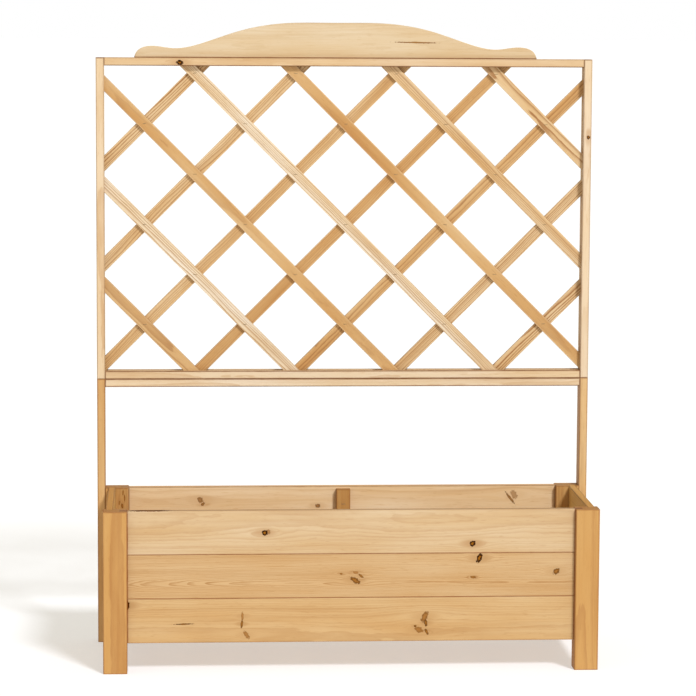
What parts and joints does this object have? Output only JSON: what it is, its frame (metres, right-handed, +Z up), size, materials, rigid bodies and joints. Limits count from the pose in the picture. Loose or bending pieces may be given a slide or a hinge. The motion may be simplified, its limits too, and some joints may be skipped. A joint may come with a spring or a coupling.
{
  "type": "planter with trellis",
  "caption": "Rectangular timber planter box on legs with a framed diagonal lattice trellis and a shaped crown board behind it.",
  "frame": {"origin": "middle of the footprint, on the floor", "axes": "+X to the right as seen from the front, +Y from the front boards to the trellis, +Z up"},
  "size_m": [1.24, 0.41, 1.5624],
  "materials": {
    "pine_leg": "planed, honey-brown impregnated",
    "pine_board": "planed, light tan impregnated with brown knots",
    "pine_inner": "planed, in shade",
    "pine_slat": "planed, pale to honey",
    "pine_crown": "sawn to shape and planed",
    "pine_frame": "planed, light tan",
    "zinc_screw_steel": "yellow-passivated zinc",
    "staple_steel": "galvanised wire"
  },
  "bodies": {
    "root": {"back_batten": "pine_inner", "back_board_lower": "pine_board", "back_board_middle": "pine_board", "back_board_upper": "pine_board", "batten_staples": "staple_steel", "bearer_staples": "staple_steel", "crown_board": "pine_crown", "crown_screws": "zinc_screw_steel", "floor_bearer_front": "pine_inner", "floor_bearer_rear": "pine_inner", "floor_board_1": "pine_inner", "floor_board_2": "pine_inner", "floor_board_3": "pine_inner", "floor_board_4": "pine_inner", "floor_board_5": "pine_inner", "floor_board_6": "pine_inner", "floor_board_7": "pine_inner", "floor_board_8": "pine_inner", "front_batten": "pine_inner", "front_board_lower": "pine_board", "front_board_middle": "pine_board", "front_board_upper": "pine_board", "lattice_front_slat_1": "pine_slat", "lattice_front_slat_2": "pine_slat", "lattice_front_slat_3": "pine_slat", "lattice_front_slat_4": "pine_slat", "lattice_front_slat_5": "pine_slat", "lattice_front_slat_6": "pine_slat", "lattice_front_slat_7": "pine_slat", "lattice_rear_slat_1": "pine_slat", "lattice_rear_slat_2": "pine_slat", "lattice_rear_slat_3": "pine_slat", "lattice_rear_slat_4": "pine_slat", "lattice_rear_slat_5": "pine_slat", "lattice_rear_slat_6": "pine_slat", "lattice_rear_slat_7": "pine_slat", "lattice_staples": "staple_steel", "left_side_board_lower": "pine_board", "left_side_board_middle": "pine_board", "left_side_board_upper": "pine_board", "leg_front_left": "pine_leg", "leg_front_right": "pine_leg", "leg_rear_left": "pine_leg", "leg_rear_right": "pine_leg", "lower_cross_rail": "pine_frame", "panel_bottom_rail": "pine_frame", "panel_joining_screws": "zinc_screw_steel", "panel_stile_left": "pine_frame", "panel_stile_right": "pine_frame", "panel_top_rail": "pine_frame", "post_screws": "zinc_screw_steel", "right_side_board_lower": "pine_board", "right_side_board_middle": "pine_board", "right_side_board_upper": "pine_board", "trellis_post_left": "pine_frame", "trellis_post_right": "pine_frame"}
  },
  "joints": []
}
